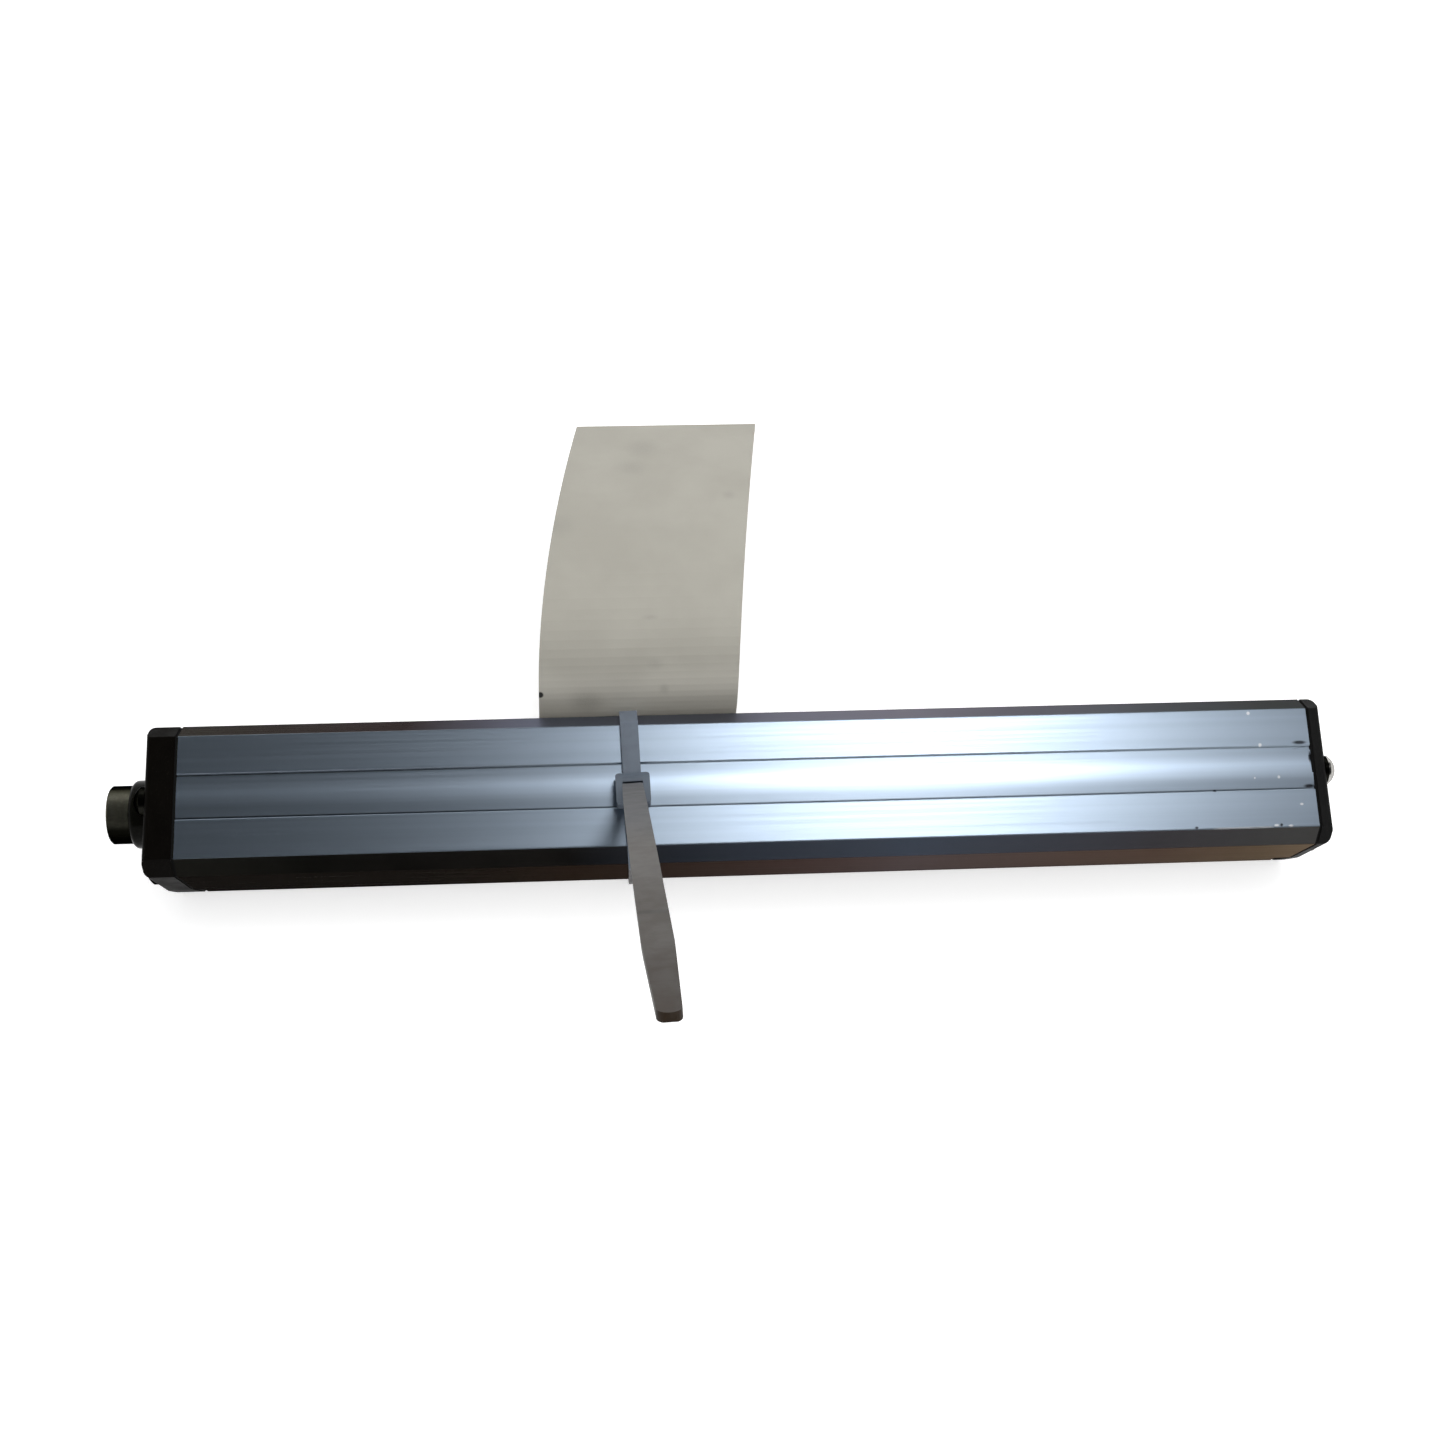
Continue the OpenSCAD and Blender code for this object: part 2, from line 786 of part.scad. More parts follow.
module coil_bobbin() {
    color("beige")
        difference() {
            union() {
                bar_x(bobbin_x, bobbin_x + bobbin_len, bobbin_core_r, 0, channel_z);
                bar_x(bobbin_x, bobbin_x + bobbin_flange_t, bobbin_flange_r, 0, channel_z);
                bar_x(bobbin_x + bobbin_len - bobbin_flange_t, bobbin_x + bobbin_len,
                    bobbin_flange_r, 0, channel_z);
            }
            bar_x(bobbin_x - 1, bobbin_x + bobbin_len + 1, wire_hole_r, 0, channel_z);
        }
}

module pickup_coil() {
    color("chocolate")
        tube_x(bobbin_x + bobbin_flange_t, bobbin_x + bobbin_len - bobbin_flange_t,
            bobbin_flange_r - 0.6, bobbin_core_r, 0, channel_z);
}

module bias_magnet() {
    color("darkgray")
        tube_x(magnet_x, magnet_x + magnet_len, bobbin_flange_r, wire_hole_r, 0, channel_z);
}

module coil_shield() {
    color("lightgray")
        tube_x(shield_x, shield_x + shield_len, shield_r, shield_r - shield_wall, 0, channel_z);
}

module coil_leads() {
    thin = lead_d * 0.6;
    root_y = bobbin_core_r + 0.9;
    side_y = lead_ys[1] + 2.4;
    foot_x = board_x0 + 2;
    color("goldenrod")
        for (side = [-1, 1])
            wire_path([
                [bobbin_x, side * root_y, channel_z],
                [lead_turn_x, side * root_y, channel_z],
                [lead_turn_x, side * side_y, channel_z],
                [lead_turn_x, side * side_y, board_top + thin / 2],
                [foot_x, side * side_y, board_top + thin / 2]
            ], thin);
}

// Middle line of the tail in the tie's own plane, at a distance s along it from the head
tail_turn = tail_tip_lean - tail_lean;
tail_bend_r = tail_len * 180 / (PI * tail_turn);
tail_bend_y = tail_start_y - tail_bend_r * cos(tail_lean);
tail_bend_z = tail_start_z - tail_bend_r * sin(tail_lean);
function tail_point(s) =
    let (lean = tail_lean + tail_turn * s / tail_len)
    [tail_bend_y + tail_bend_r * cos(lean), tail_bend_z + tail_bend_r * sin(lean)];
tail_root = tail_point(0) - (tail_start_z - tail_root_z) / cos(tail_lean)
    * [-sin(tail_lean), cos(tail_lean)];

// Sideways place and half width of the tail, which narrows to a rounded tip
function tail_side(s) = -4 * tail_bow * (s / tail_len) * (1 - s / tail_len);
function tail_half(s) =
    let (
        rest = tail_len - s,
        blunt = tip_w / 2,
        straight = blunt + (tie_w / 2 - blunt) * min(rest / tip_len, 1)
    )
    rest < blunt ? sqrt(blunt * blunt - pow(blunt - rest, 2)) * straight / blunt : straight;

module tie_tail() {
    stations = concat(
        [for (i = [0:tail_steps]) (tail_len - tip_w / 2) * i / tail_steps],
        [for (a = [75:-15:0]) tail_len - tip_w / 2 * (1 - cos(a))]
    );
    last = len(stations) - 1;
    middle = concat([tail_root], [for (s = stations) tail_point(s)]);
    intersection() {
        along_x(-tie_w, tie_w)
            polygon(strip(middle, tie_t));
        translate([0, tie_head_w, 0])
            rotate([90, 0, 0])
                linear_extrude(tail_len)
                    polygon(concat(
                        [[-tie_w / 2, tail_root_z - tie_t]],
                        [for (s = stations) [tail_side(s) - tail_half(s), tail_point(s)[1]]],
                        [for (i = [last - 1:-1:0])
                            let (s = stations[i])
                            [tail_side(s) + tail_half(s), tail_point(s)[1]]],
                        [[tie_w / 2, tail_root_z - tie_t]]
                    ));
    }
}

// Head of the tie, with the slot that the tail comes out of
module tie_head() {
    round_r = 1;
    low = housing_h + tie_gap;
    half_l = tie_head_len / 2;
    slot_w = tie_w + 0.6;
    slot_l = 2.6;
    difference() {
        intersection() {
            translate([0, tie_head_y, low])
                linear_extrude(tie_head_h)
                    union() {
                        square([tie_head_w - 2 * round_r, tie_head_len], center = true);
                        square([tie_head_w, tie_head_len - 2 * round_r], center = true);
                        for (sx = [-1, 1], sy = [-1, 1])
                            translate([sx * (tie_head_w / 2 - round_r), sy * (half_l - round_r)])
                                circle(r = round_r);
                    }
            along_x(-tie_head_w, tie_head_w)
                polygon([
                    [tie_head_y - half_l - 1, low - 1],
                    [tie_head_y + half_l + 1, low - 1],
                    [tie_head_y + half_l + 1, low + tie_t + 0.8],
                    [tie_head_y + half_l - 1.6, low + tie_head_h],
                    [tie_head_y - half_l + 0.5, low + tie_head_h],
                    [tie_head_y - half_l - 0.6, low + tie_head_h - 1.2],
                    [tie_head_y - half_l - 1, low]
                ]);
        }
        translate([-slot_w / 2, tie_head_y - slot_l / 2 + 0.3, low + tie_t])
            cube([slot_w, slot_l, tie_head_h]);
    }
}

module cable_tie() {
    color("gray")
        translate([tie_x, tie_head_y, 0])
            rotate([0, 0, tie_turn])
                translate([0, -tie_head_y, 0]) {
                    along_x(-tie_w / 2, tie_w / 2)
                        difference() {
                            polygon(outline(-tie_gap - tie_t, corner_r + tie_gap + tie_t));
                            polygon(outline(-tie_gap, corner_r + tie_gap));
                        }
                    tie_head();
                    tie_tail();
                }
}

// Outline of the tag seen from above: its edges drift sideways as the sheet springs back
function tag_x(t) = tie_back_x + curve(tag_drift, t)[0];
function tag_y(t) = curve(tag_curve, t)[0];

module tag_sheet() {
    side = tag_pinch[0][0] - 1;
    far = tag_y(1) + 1;
    half = tag_w / 2;
    slot_half_w = tie_w / 2 + tag_slot_gap;
    steps = [for (i = [0:tag_steps]) i / tag_steps];
    middle = concat(tag_pinch, [for (t = steps) curve(tag_curve, t)]);
    color("silver")
        difference() {
            intersection() {
                along_x(tie_back_x - tag_w, tie_back_x + tag_w)
                    polygon(strip(middle, tag_t));
                translate([0, 0, tie_base_z])
                    linear_extrude(housing_h + tag_arch)
                        polygon(concat(
                            [[tag_x(0) - half, side]],
                            [for (t = steps) [tag_x(t) - half, tag_y(t)]],
                            [[tag_x(1) - half, far], [tag_x(1) + half, far]],
                            [for (t = steps) [tag_x(1 - t) + half, tag_y(1 - t)]],
                            [[tag_x(0) + half, side]]
                        ));
            }
            translate([tie_back_x - slot_half_w, side, flange_t + 5.5])
                cube([2 * slot_half_w, tie_t + 8, slot_top - flange_t - 0.2]);
        }
}

housing_profile();
connector_end_cap();
plain_end_cap();
connector_end_gasket();
plain_end_gasket();
connector_cap_screws();
plain_cap_screws();
screw_washers();
connector_shell();
connector_collar();
connector_seal();
connector_nut();
connector_insulator();
contact_pins();
lead_wires();
circuit_board();
signal_chips();
board_capacitors();
board_header();
waveguide_tube();
waveguide_sleeve();
waveguide_wire();
return_conductor();
tube_supports();
end_damper();
coil_bobbin();
pickup_coil();
bias_magnet();
coil_shield();
coil_leads();
cable_tie();
tag_sheet();
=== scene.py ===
"""Looks of the magnetostrictive position sensor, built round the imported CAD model. Metres, +Z up."""
import math

import bmesh
import bpy
from mathutils import Matrix, Vector


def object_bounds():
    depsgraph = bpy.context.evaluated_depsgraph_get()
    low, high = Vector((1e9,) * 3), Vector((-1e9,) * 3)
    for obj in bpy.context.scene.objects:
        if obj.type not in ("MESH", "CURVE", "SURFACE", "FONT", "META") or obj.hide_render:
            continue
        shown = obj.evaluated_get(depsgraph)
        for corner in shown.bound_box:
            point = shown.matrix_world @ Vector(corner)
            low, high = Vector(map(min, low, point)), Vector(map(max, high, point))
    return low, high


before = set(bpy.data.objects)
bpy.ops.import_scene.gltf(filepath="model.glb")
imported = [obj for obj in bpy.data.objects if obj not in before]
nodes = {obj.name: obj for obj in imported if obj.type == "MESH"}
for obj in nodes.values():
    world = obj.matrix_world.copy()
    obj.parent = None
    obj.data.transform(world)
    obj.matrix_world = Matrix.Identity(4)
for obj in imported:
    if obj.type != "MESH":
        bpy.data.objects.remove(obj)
cad_box = [list(corner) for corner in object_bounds()]

MM = 0.001
# The sensing face reaches this far to both sides of the middle
FACE_EDGE_Y = 0.01655
# All of the sensing face lies above this height
FACE_LOW_Z = 0.038
# Middle and half width of the crowned strip, and the places of the two fine grooves beside it
CROWN_Y = 0.0005
CROWN_HALF = 0.0040
GROOVE_Y = 0.0059
# Share of the crown's lean across the housing that its shading keeps
CROWN_LEAN = 0.42
# Height at which the slopes meet the upright sides
SLOPE_FOOT_Z = 0.0359
# Height of the painted shade line across the tie's tail
GRIP_LINE_Z = 0.2425
# The floor lies just under the lowest point of the part
FLOOR_Z = cad_box[0][2] - 0.00005
# Places along the housing, in millimetres, at which the painted light and shade of its slopes and sides, and
# its painted reflection tint, are set
LENGTH_STOPS = (-147, -93, -50, 42, 110, 145)
# How far a grain makes a colour darker and lighter
GRAIN_CONTRAST = 0.18


class Graph:
    """A material's node tree with short calls for the nodes that the finishes share."""

    def __init__(self, name):
        self.material = bpy.data.materials.new(name)
        self.material.use_nodes = True
        self.tree = self.material.node_tree
        self.shader = self.tree.nodes["Principled BSDF"]
        self.coords = self.tree.nodes.new("ShaderNodeTexCoord").outputs["Object"]
        separate = self.tree.nodes.new("ShaderNodeSeparateXYZ")
        self.put(separate.inputs[0], self.coords)
        self.x, self.y, self.z = separate.outputs

    def put(self, socket, value):
        """Links another node's output to the socket, or sets the socket's own value."""
        if isinstance(value, bpy.types.NodeSocket):
            self.tree.links.new(value, socket)
        else:
            socket.default_value = value

    def set(self, **inputs):
        """Sets inputs of the shader by name, with _ for a space."""
        for key, value in inputs.items():
            self.put(self.shader.inputs[key.replace("_", " ")], value)

    def math(self, operation, a, b=0.0):
        node = self.tree.nodes.new("ShaderNodeMath")
        node.operation = operation
        self.put(node.inputs[0], a)
        self.put(node.inputs[1], b)
        return node.outputs[0]

    def plus(self, a, b):
        return self.math("ADD", a, b)

    def minus(self, a, b):
        return self.math("SUBTRACT", a, b)

    def times(self, a, b):
        return self.math("MULTIPLY", a, b)

    def off(self, value, centre):
        """Distance of value from centre."""
        return self.math("ABSOLUTE", self.minus(value, centre))

    def length(self, a, b):
        return self.math("SQRT", self.plus(self.times(a, a), self.times(b, b)))

    def largest(self, values):
        total = values[0]
        for value in values[1:]:
            total = self.math("MAXIMUM", total, value)
        return total

    def vector_math(self, operation, vector, by=None):
        node = self.tree.nodes.new("ShaderNodeVectorMath")
        node.operation = operation
        self.put(node.inputs[0], vector)
        if by:
            self.put(node.inputs[1], by)
        return node.outputs[0]

    def ramp(self, value, low, high, to_low=0.0, to_high=1.0, smooth=True):
        """value from low to high becomes to_low to to_high, and stays there outside."""
        node = self.tree.nodes.new("ShaderNodeMapRange")
        node.interpolation_type = "SMOOTHSTEP" if smooth else "LINEAR"
        for key, number in (("From Min", low), ("From Max", high), ("To Min", to_low), ("To Max", to_high)):
            node.inputs[key].default_value = number
        self.put(node.inputs["Value"], value)
        return node.outputs["Result"]

    def spread(self, noise, to_low=0.0, to_high=1.0):
        """A noise, which keeps near its middle, spread over the whole range."""
        return self.ramp(noise, 0.3, 0.7, to_low, to_high)

    def mix(self, factor, a, b):
        """Colour a where factor is 0, and b where it is 1."""
        node = self.tree.nodes.new("ShaderNodeMix")
        node.data_type = "RGBA"
        self.put(node.inputs["Factor"], factor)
        self.put(node.inputs[6], (*a, 1) if isinstance(a, tuple) else a)
        self.put(node.inputs[7], (*b, 1) if isinstance(b, tuple) else b)
        return node.outputs[2]

    def noise(self, scale, detail=3.0, stretch=None):
        node = self.tree.nodes.new("ShaderNodeTexNoise")
        node.inputs["Scale"].default_value = scale
        node.inputs["Detail"].default_value = detail
        node.inputs["Roughness"].default_value = 0.55
        place = self.vector_math("MULTIPLY", self.coords, stretch) if stretch else self.coords
        self.put(node.inputs["Vector"], place)
        return node.outputs["Fac"]

    def along(self, *colours):
        """Colour that follows the housing's length, with one colour for each of LENGTH_STOPS."""
        low, high = LENGTH_STOPS[0], LENGTH_STOPS[-1]
        node = self.tree.nodes.new("ShaderNodeValToRGB")
        self.put(node.inputs[0], self.ramp(self.x, low * MM, high * MM, smooth=False))
        marks = node.color_ramp.elements
        while len(marks) < len(LENGTH_STOPS):
            marks.new(0.5)
        for mark, place in zip(marks, LENGTH_STOPS):
            mark.position = (place - low) / (high - low)
        for mark, colour in zip(marks, colours):
            mark.color = (*colour, 1)
        return node.outputs[0]

    def spot(self, x, y, rx, ry, soft=0.5):
        """1 inside an ellipse about (x, y) in millimetres, falling to 0 round it."""
        dx = self.times(self.minus(self.x, x * MM), 1 / (rx * MM))
        dy = self.times(self.minus(self.y, y * MM), 1 / (ry * MM))
        return self.ramp(self.length(dx, dy), 1 - soft, 1 + soft, 1.0, 0.0)

    def flattened_normal(self, keep, amount):
        """The surface's normal, with only a share of its lean across the housing where amount is 1."""
        normal = self.tree.nodes.new("ShaderNodeNewGeometry").outputs["Normal"]
        blend = self.tree.nodes.new("ShaderNodeMix")
        blend.data_type = "VECTOR"
        self.put(blend.inputs["Factor"], amount)
        self.put(blend.inputs[4], normal)
        self.put(blend.inputs[5], self.vector_math("MULTIPLY", normal, (1, keep, 1)))
        return self.vector_math("NORMALIZE", blend.outputs[1])

    def bump(self, height, distance, strength=1.0, normal=None):
        node = self.tree.nodes.new("ShaderNodeBump")
        node.inputs["Strength"].default_value = strength
        node.inputs["Distance"].default_value = distance
        self.put(node.inputs["Height"], height)
        if normal:
            self.put(node.inputs["Normal"], normal)
        self.set(Normal=node.outputs[0])


def grained(name, colour, roughness, metallic=0.0, scale=900.0, depth=0.00004, stretch=None,
            rough_vary=0.08, specular=0.5, ior=1.5, tint=(1, 1, 1)):
    """A finish with a fine grain in its colour, roughness and surface."""
    g = Graph(name)
    grain = g.noise(scale, 4.0, stretch)
    cloud = g.noise(scale / 12, 2.0)
    blend = g.plus(g.times(grain, 0.5), g.times(cloud, 0.5))
    dark = tuple(c * (1 - GRAIN_CONTRAST) for c in colour)
    light = tuple(min(1.0, c * (1 + GRAIN_CONTRAST)) for c in colour)
    g.set(Base_Color=g.mix(g.spread(blend), dark, light), Metallic=metallic)
    g.set(Roughness=g.spread(cloud, roughness - rough_vary, roughness + rough_vary))
    g.set(Specular_IOR_Level=specular, IOR=ior, Specular_Tint=(*tint, 1))
    g.bump(grain, depth)
    return g.material


def face_colour(g):
    """Sensing face: two bluish flats, a lighter crowned strip, and painted shade as a dark line in each fine
    groove.
    """
    streaks = g.spread(g.noise(1.0, 2.0, (2.5, 420, 420)))
    flats = g.mix(streaks, (0.395, 0.480, 0.585), (0.430, 0.520, 0.630))
    crown = g.mix(streaks, (0.580, 0.700, 0.850), (0.630, 0.760, 0.920))
    face = g.mix(g.ramp(g.off(g.y, CROWN_Y), 0.0, CROWN_HALF, 1.0, 0.0), flats, crown)
    groove_shade = g.ramp(g.off(g.math("ABSOLUTE", g.y), GROOVE_Y), 0.00020, 0.00045, 1.0, 0.0)
    # The painted groove shade fades towards the plain end, the far line more than the near one
    near_groove_shade = g.ramp(g.x, -0.10, 0.0, 0.85, 0.50)
    far_groove_shade = g.ramp(g.x, -0.10, 0.0, 0.85, 0.25)
    tone = g.mix(g.ramp(g.y, -0.001, 0.001), near_groove_shade, far_groove_shade)
    return g.mix(g.times(groove_shade, tone), face, (0.070, 0.085, 0.105))


def slopes_with_painted_light(g):
    """Slopes on both sides of the face, and the upright sides under them: painted light and shade that change
    along the length, and a warm painted reflection on the upright sides.
    """
    near = g.along((0.008, 0.008, 0.007), (0.002, 0.002, 0.002), (0.004, 0.004, 0.004),
                   (0.036, 0.044, 0.060), (0.032, 0.031, 0.035), (0.038, 0.038, 0.038))
    far = g.along((0.105, 0.100, 0.094), (0.095, 0.083, 0.085), (0.200, 0.225, 0.285),
                  (0.170, 0.172, 0.200), (0.085, 0.104, 0.120), (0.035, 0.055, 0.070))
    slopes = g.mix(g.ramp(g.y, -0.002, 0.002), near, far)
    upright = g.ramp(g.z, SLOPE_FOOT_Z + 0.0003, SLOPE_FOOT_Z - 0.0003)
    sides = g.mix(upright, slopes, (0.05, 0.042, 0.036))
    return g.mix(g.spread(g.noise(28.0, 2.0), 0.0, 0.10), sides, (0.05, 0.045, 0.04))


def handling_marks(g):
    """Bright nicks, dark pits and a worn length of the near edge, all close to the plain end."""
    # Each is given by x, y, half length and half width in millimetres
    bright = [(136.9, 15.5, 0.45, 0.45), (139.2, 6.5, 0.45, 0.45), (143.4, -2.6, 0.35, 0.40),
              (136.7, -2.7, 0.22, 0.25), (148.8, -10.3, 0.45, 0.30), (141.2, -16.0, 0.60, 0.35),
              (145.1, -16.2, 0.60, 0.30)]
    dark = [(125.3, -6.0, 0.45, 0.30), (119.2, -16.1, 0.45, 0.35), (142.6, -15.9, 0.35, 0.40),
            (150.2, 6.9, 1.70, 0.48), (151.7, -5.3, 1.40, 0.48), (152.9, 3.0, 0.40, 1.30)]
    nicks = g.largest([g.spot(*mark) for mark in bright])
    pits = g.largest([g.spot(*mark) for mark in dark])
    worn_length = g.times(g.ramp(g.x, 0.123, 0.126), g.ramp(g.x, 0.139, 0.141, 1.0, 0.0))
    worn_edge = g.times(g.ramp(g.y, -0.01640, -0.01615, 1.0, 0.0), worn_length)
    return nicks, pits, worn_edge


def housing_material():
    """Extruded, anodised aluminium: bluish on the sensing face with painted shade in its fine grooves, and
    darker on the slopes and sides, which carry painted light, shade and reflection.
    """
    g = Graph("anodised_extrusion")
    between_edges = g.ramp(g.math("ABSOLUTE", g.y), FACE_EDGE_Y - 0.0001, FACE_EDGE_Y + 0.0001, 1.0, 0.0)
    on_face = g.times(between_edges, g.ramp(g.z, FACE_LOW_Z, FACE_LOW_Z + MM))
    nicks, pits, worn_edge = [g.times(mark, on_face) for mark in handling_marks(g)]
    base = g.mix(on_face, slopes_with_painted_light(g), face_colour(g))
    base = g.mix(g.times(pits, 0.9), base, (0.03, 0.03, 0.035))
    base = g.mix(g.math("MAXIMUM", nicks, worn_edge), base, (0.90, 0.92, 0.95))
    g.set(Base_Color=base, Metallic=1.0)
    # Extrusion lines run the whole length, so their noise is drawn out along X
    lines = g.noise(1.0, 3.0, (6, 5200, 5200))
    rough = g.plus(g.ramp(on_face, 0.0, 1.0, 0.36, 0.33, smooth=False), g.spread(lines, -0.03, 0.03))
    g.set(Roughness=g.plus(rough, g.times(nicks, 0.2)))
    # Painted reflection: the tint of what the metal reflects at a low angle, dark at the connector end and
    # warm towards the plain end
    g.set(Specular_Tint=g.along((0.030, 0.024, 0.018), (0.055, 0.044, 0.030), (0.190, 0.130, 0.090),
                                (0.420, 0.375, 0.385), (0.420, 0.350, 0.320), (0.500, 0.420, 0.350)))
    height = g.plus(g.times(lines, 0.5), g.times(nicks, 1.2))
    softened = g.flattened_normal(CROWN_LEAN, on_face)
    g.bump(g.minus(height, g.times(pits, 1.5)), 0.00003, 0.35, softened)
    return g.material


def tag_material():
    """Plain card, a little warm, with faint grey smudges and one black mark on its edge."""
    g = Graph("plain_card")
    fibre = g.noise(2600.0, 3.0)
    cloud = g.noise(45.0, 3.0)
    base = g.mix(g.spread(cloud), (0.342, 0.329, 0.288), (0.371, 0.358, 0.315))
    # Paler towards the tied end, which offsets the shade that the card bends into there
    base = g.mix(g.ramp(g.y, 0.036, 0.022), base, (0.68, 0.66, 0.59))
    # Each is given by x, y, half length and half width in millimetres
    smudges = [(-26.6, 111.0, 3.4, 3.0), (-30.4, 101.5, 3.6, 2.4), (-44.4, 26.5, 3.6, 1.6),
               (-25.5, 34.6, 1.8, 1.2), (-23.0, 28.8, 1.0, 0.8), (-26.5, 47.0, 1.6, 0.5),
               (-2.3, 89.0, 1.4, 1.4), (-52.0, 78.0, 4.0, 3.0)]
    marks = g.largest([g.times(g.spot(*mark, soft=0.95), 0.42) for mark in smudges])
    base = g.mix(g.times(marks, g.ramp(fibre, 0.25, 0.75, 0.6, 1.0)), base, (0.26, 0.255, 0.225))
    base = g.mix(g.spot(-57.2, 28.0, 0.85, 0.60, soft=0.3), base, (0.03, 0.03, 0.03))
    g.set(Base_Color=base, Roughness=g.spread(fibre, 0.68, 0.8))
    g.bump(g.plus(fibre, g.times(cloud, 1.5)), 0.00004, 0.5)
    return g.material


def tie_material():
    """Grey nylon with faint cloudy wear: bluish at the strap, with painted shade where it runs down the near
    side, and painted shade that makes the tail browner and darker towards its tip.
    """
    g = Graph("grey_nylon")
    cloud = g.noise(220.0, 3.0)
    grain = g.noise(3000.0, 2.0)
    wear = g.spread(cloud)
    colour = g.mix(wear, (0.108, 0.127, 0.157), (0.126, 0.149, 0.182))
    # The head, then the tail: each tone begins at the first height and is reached at the second. The tail's
    # browner, darker tones towards its tip are painted shade.
    for start, end, dark, light in ((0.0420, 0.0440, (0.085, 0.103, 0.128), (0.100, 0.120, 0.147)),
                                    (0.0470, 0.0560, (0.048, 0.050, 0.056), (0.055, 0.058, 0.064)),
                                    (0.1750, 0.2050, (0.054, 0.050, 0.047), (0.062, 0.058, 0.054)),
                                    (0.2150, 0.2380, (0.030, 0.025, 0.020), (0.036, 0.030, 0.025)),
                                    (0.2540, 0.2670, (0.014, 0.009, 0.005), (0.019, 0.012, 0.007))):
        colour = g.mix(g.ramp(g.z, start, end), colour, g.mix(wear, dark, light))
    # Painted shade: the strap is made nearly black where it runs down the near side of the housing
    shaded = g.times(g.ramp(g.z, 0.0365, 0.0345), g.ramp(g.y, 0.0, -0.005))
    colour = g.mix(g.times(shaded, 0.9), colour, (0.014, 0.010, 0.008))
    # Painted shade: a dark line across the tail, as the shade of a small step there
    grip_step_shade = g.ramp(g.off(g.z, GRIP_LINE_Z), 0.0004, 0.0012, 0.55, 0.0)
    colour = g.mix(grip_step_shade, colour, (0.012, 0.010, 0.009))
    g.set(Base_Color=colour, Roughness=g.spread(cloud, 0.45, 0.55), IOR=1.5, Specular_IOR_Level=0.2)
    g.bump(g.plus(g.times(grain, 0.3), cloud), 0.00005, 0.5)
    return g.material


def barrel_material():
    """Dark olive plating, with painted light along its top and painted shade, nearly black, towards its
    flanks.
    """
    g = Graph("dark_olive_plating")
    grain = g.noise(1100.0, 4.0)
    lit = g.mix(g.spread(grain), (0.120, 0.118, 0.092), (0.150, 0.148, 0.115))
    flank_shade = g.ramp(g.off(g.y, 0.0008), 0.0015, 0.0065)
    g.set(Base_Color=g.mix(flank_shade, lit, (0.004, 0.004, 0.003)), Metallic=1.0, Roughness=0.42)
    g.set(Specular_Tint=(0.03, 0.03, 0.025, 1))
    g.bump(grain, 0.00002)
    return g.material


RUBBER = grained("black_rubber", (0.006, 0.006, 0.006), 0.7, scale=1200, specular=0.1, ior=1.2)
SHADED_STEEL = grained("shaded_black_steel", (0.012, 0.012, 0.010), 0.3, metallic=1.0, scale=1400,
                       depth=0.00001, tint=(0.1, 0.1, 0.1))
STEEL = grained("drawn_steel", (0.55, 0.55, 0.56), 0.3, metallic=1.0, scale=1.0, stretch=(30, 3000, 3000))
COPPER = grained("enamelled_copper", (0.55, 0.20, 0.09), 0.3, metallic=1.0, scale=1.0,
                 stretch=(9000, 200, 200))

FINISHES = {
    "housing_profile": housing_material(),
    # The connector end's cap is a darker copy of the plain end's black plastic: painted shade
    "connector_end_cap": grained("black_plastic_with_painted_shade", (0.0022, 0.0018, 0.0014), 0.55, scale=1500,
                                 depth=0.00005, specular=0.12, ior=1.2),
    "plain_end_cap": grained("black_plastic_plain_end", (0.009, 0.009, 0.009), 0.5, scale=1500,
                             depth=0.00005, specular=0.12, ior=1.2),
    "connector_end_gasket": RUBBER,
    "plain_end_gasket": RUBBER,
    "connector_cap_screws": SHADED_STEEL,
    "plain_cap_screws": grained("blackened_steel", (0.45, 0.44, 0.42), 0.22, metallic=1.0, scale=1400,
                                depth=0.00001, tint=(0.4, 0.4, 0.4)),
    "screw_washers": SHADED_STEEL,
    "connector_shell": barrel_material(),
    "connector_collar": grained("glossy_black_plastic", (0.004, 0.004, 0.003), 0.2, scale=700,
                                depth=0.00001, rough_vary=0.04, specular=0.3, ior=1.15),
    "connector_seal": RUBBER,
    "connector_nut": STEEL,
    "connector_insulator": grained("insulator_plastic", (0.012, 0.012, 0.013), 0.45, scale=1500),
    "contact_pins": grained("gold_plating", (0.83, 0.58, 0.22), 0.24, metallic=1.0, scale=2000,
                            depth=0.00001),
    "lead_wires": grained("lead_insulation", (0.22, 0.02, 0.015), 0.4, scale=1500),
    "circuit_board": grained("board_laminate", (0.01, 0.10, 0.035), 0.35, scale=1.0, stretch=(900, 900, 100)),
    "signal_chips": grained("chip_plastic", (0.018, 0.018, 0.02), 0.5, scale=2500),
    "board_capacitors": grained("can_aluminium", (0.66, 0.67, 0.68), 0.32, metallic=1.0, scale=1500),
    "board_header": grained("header_plastic", (0.74, 0.68, 0.54), 0.5, scale=1500),
    "waveguide_tube": STEEL,
    "waveguide_sleeve": grained("sleeve_plastic", (0.80, 0.80, 0.77), 0.5, scale=1200),
    "waveguide_wire": STEEL,
    "return_conductor": COPPER,
    "tube_supports": grained("silicone_rubber", (0.34, 0.06, 0.035), 0.65, scale=1200),
    "end_damper": grained("damper_rubber", (0.05, 0.055, 0.06), 0.7, scale=1200),
    "coil_bobbin": grained("bobbin_plastic", (0.70, 0.63, 0.44), 0.5, scale=1500),
    "pickup_coil": COPPER,
    "coil_leads": COPPER,
    "bias_magnet": STEEL,
    "coil_shield": STEEL,
    "cable_tie": tie_material(),
    "tag_sheet": tag_material(),
}
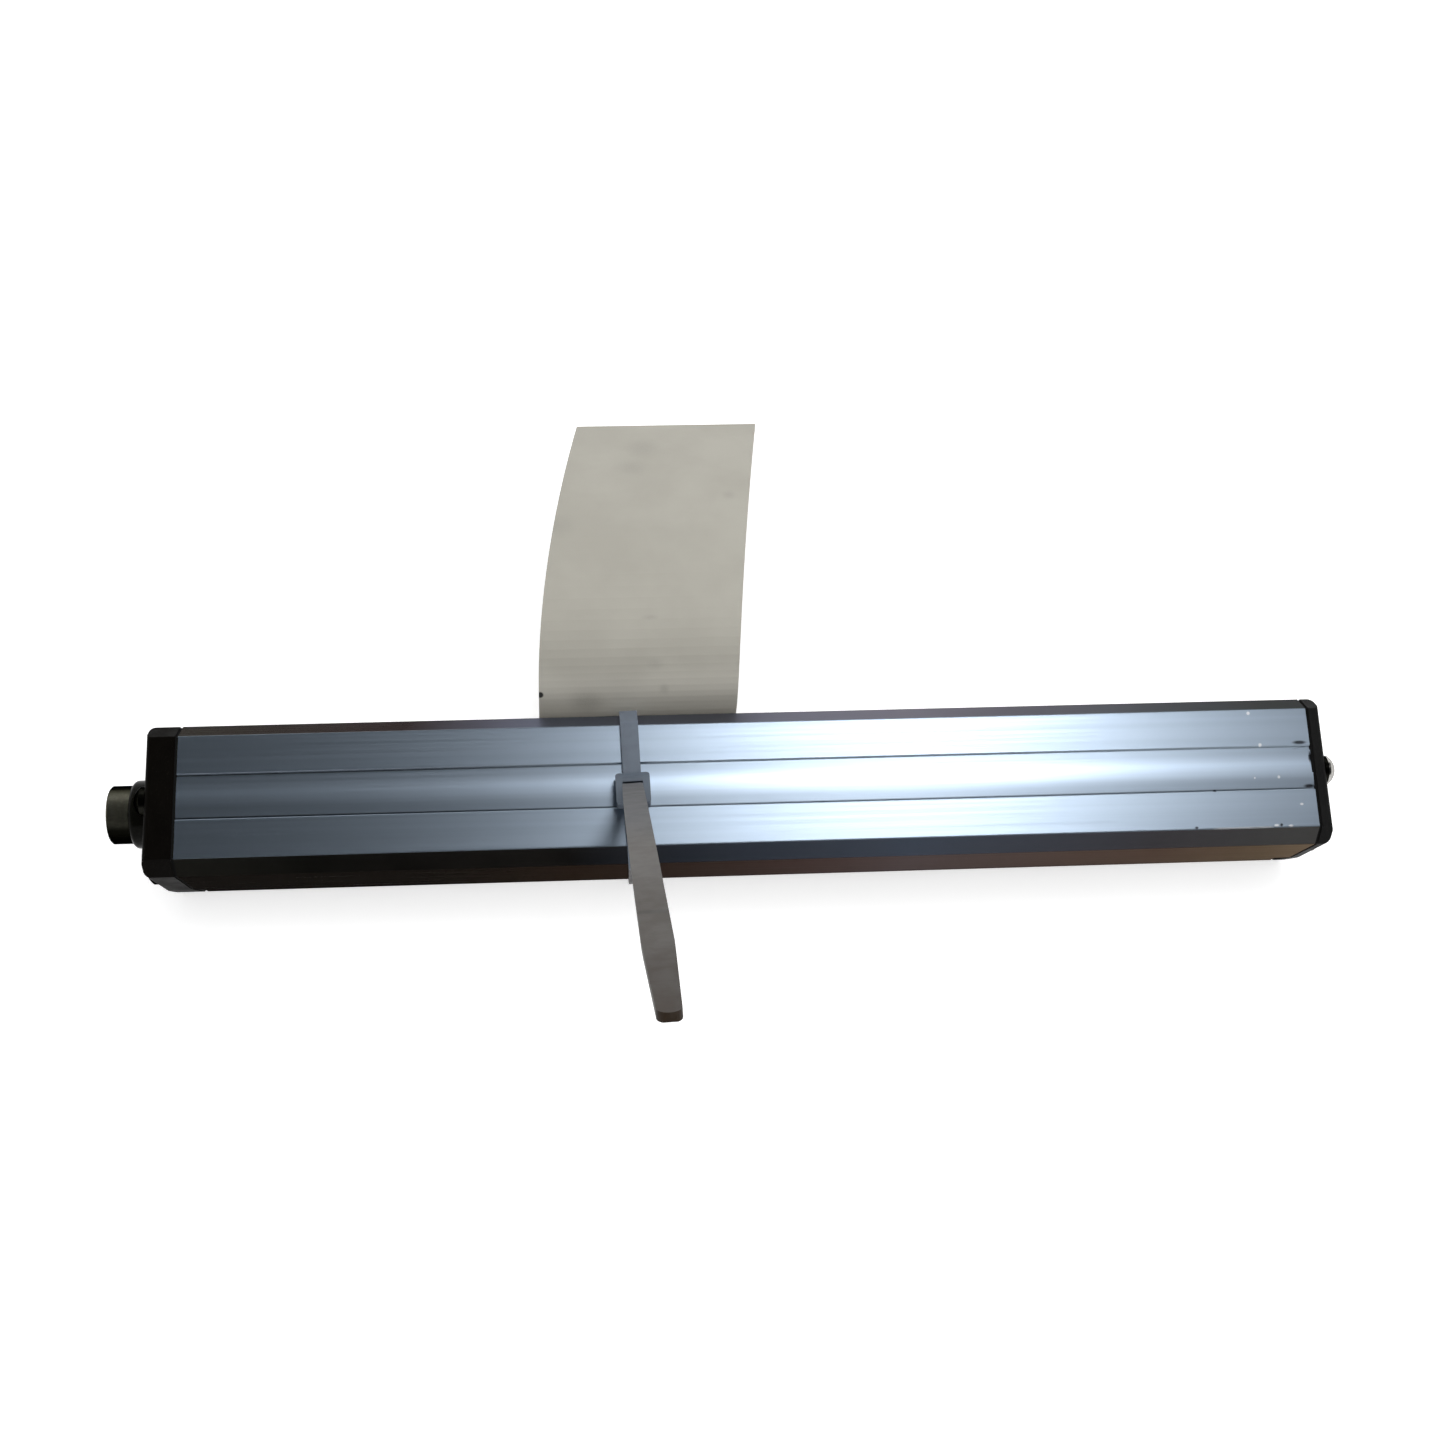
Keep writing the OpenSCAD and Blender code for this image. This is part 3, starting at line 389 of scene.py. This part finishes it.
for node_name, material in FINISHES.items():
    mesh = nodes[node_name].data
    mesh.materials.clear()
    mesh.materials.append(material)

STUDIO_R = 2.6
WALL_H = 1.9
COVE_R = 0.6
COVE_STEPS = 8
STUDIO_SIDES = 96
# Radii of the rings that the flat floor is made of
FLOOR_RADII = (0.35, 1.2, STUDIO_R - COVE_R)
# The paper's glow rises from the first strength to the second between these distances from the middle
GLOW_DISTANCES = (0.45, 2.2)
GLOW_STRENGTHS = (0.50, 0.95)


def studio_material():
    """Pale paper floor and wall, which glow only where they are seen straight on or in a reflection."""
    g = Graph("pale_paper")
    base = g.mix(g.spread(g.noise(6.0, 2.0)), (0.86, 0.86, 0.86), (0.88, 0.88, 0.88))
    g.set(Base_Color=base, Roughness=0.9, Specular_IOR_Level=0.1, Emission_Color=(1, 1, 1, 1))
    path = g.tree.nodes.new("ShaderNodeLightPath")
    seen = g.largest([path.outputs[ray] for ray in ("Is Camera Ray", "Is Glossy Ray", "Is Transmission Ray")])
    glow = g.ramp(g.length(g.x, g.y), *GLOW_DISTANCES, *GLOW_STRENGTHS)
    g.set(Emission_Strength=g.times(seen, glow))
    return g.material


def level_ring(bm, radius, height):
    """New vertices on a circle about Z, at a height over the floor."""
    z = FLOOR_Z + height
    turns = [2 * math.pi * k / STUDIO_SIDES for k in range(STUDIO_SIDES)]
    return [bm.verts.new((radius * math.cos(turn), radius * math.sin(turn), z)) for turn in turns]


def studio_shell():
    """Round floor that turns up into a wall: one profile spun about Z."""
    profile = [(radius, 0.0) for radius in FLOOR_RADII]
    for k in range(1, COVE_STEPS + 1):
        turn = math.pi / 2 * k / COVE_STEPS
        profile.append((STUDIO_R - COVE_R * (1 - math.sin(turn)), COVE_R * (1 - math.cos(turn))))
    profile.append((STUDIO_R, WALL_H))
    bm = bmesh.new()
    rings = [level_ring(bm, radius, height) for radius, height in profile]
    bm.faces.new(rings[0])
    for inner, outer in zip(rings, rings[1:]):
        for k in range(STUDIO_SIDES):
            j = (k + 1) % STUDIO_SIDES
            face = bm.faces.new((inner[k], outer[k], outer[j], inner[j]))
            face.smooth = True
    bmesh.ops.recalc_face_normals(bm, faces=bm.faces)
    shell = bpy.data.meshes.new("studio")
    bm.to_mesh(shell)
    bm.free()
    shell.materials.append(studio_material())
    return bpy.data.objects.new("studio", shell)


studio = studio_shell()
bpy.context.scene.collection.objects.link(studio)

world = bpy.data.worlds.new("dim_room")
bpy.context.scene.world = world
world.use_nodes = True
background = world.node_tree.nodes["Background"]
background.inputs["Color"].default_value = (0.9, 0.95, 1.0, 1)
background.inputs["Strength"].default_value = 0.03


def area_light(name, place, target, width, length, power, reflected=True):
    """A rectangular lamp that faces its target. With reflected off, it gives no highlight."""
    data = bpy.data.lights.new(name, "AREA")
    data.shape = "RECTANGLE"
    data.size = width
    data.size_y = length
    data.energy = power
    lamp = bpy.data.objects.new(name, data)
    lamp.location = place
    lamp.rotation_euler = (Vector(target) - Vector(place)).to_track_quat("-Z", "Y").to_euler()
    lamp.visible_glossy = reflected
    bpy.context.scene.collection.objects.link(lamp)


# The windows show as highlights in the metal, and the softboxes only lift what isn't metal
area_light("window", (0.208, 0.285, 1.05), (0.042, 0.0, 0.04), 0.24, 0.30, 1.9)
area_light("window_side", (0.62, 0.27, 1.05), (0.13, 0.0, 0.04), 0.24, 0.30, 0.08)
area_light("ceiling_softbox", (0.1, 0.1, 1.6), (0, 0, 0), 1.5, 1.5, 17.0, reflected=False)
area_light("front_softbox", (0.2, -1.3, 0.9), (0, 0, 0.05), 0.8, 0.8, 6.0, reflected=False)
area_light("back_softbox", (-0.1, 1.2, 0.8), (0, 0.05, 0.02), 0.8, 0.8, 9.0, reflected=False)

# The photo's camera looks down steeply from the near side
CAMERA_PLACE = (-0.03454, -0.10653, 0.510)
CAMERA_RIGHT = Vector((0.99824, -0.03777, 0.04563))
CAMERA_UP = Vector((0.02483, 0.96621, 0.25656))
CAMERA_BACK = Vector((-0.05377, -0.25498, 0.96545))

camera_data = bpy.data.cameras.new("camera")
camera_data.sensor_width = 36.0
camera_data.lens = 44.86
camera_data.clip_start = 0.01
camera_data.clip_end = 20
camera = bpy.data.objects.new("camera", camera_data)
bpy.context.scene.collection.objects.link(camera)
facing = Matrix((CAMERA_RIGHT, CAMERA_UP, CAMERA_BACK)).transposed().to_4x4()
camera.matrix_world = Matrix.Translation(CAMERA_PLACE) @ facing
bpy.context.scene.camera = camera

bpy.context.scene.view_settings.view_transform = "Standard"
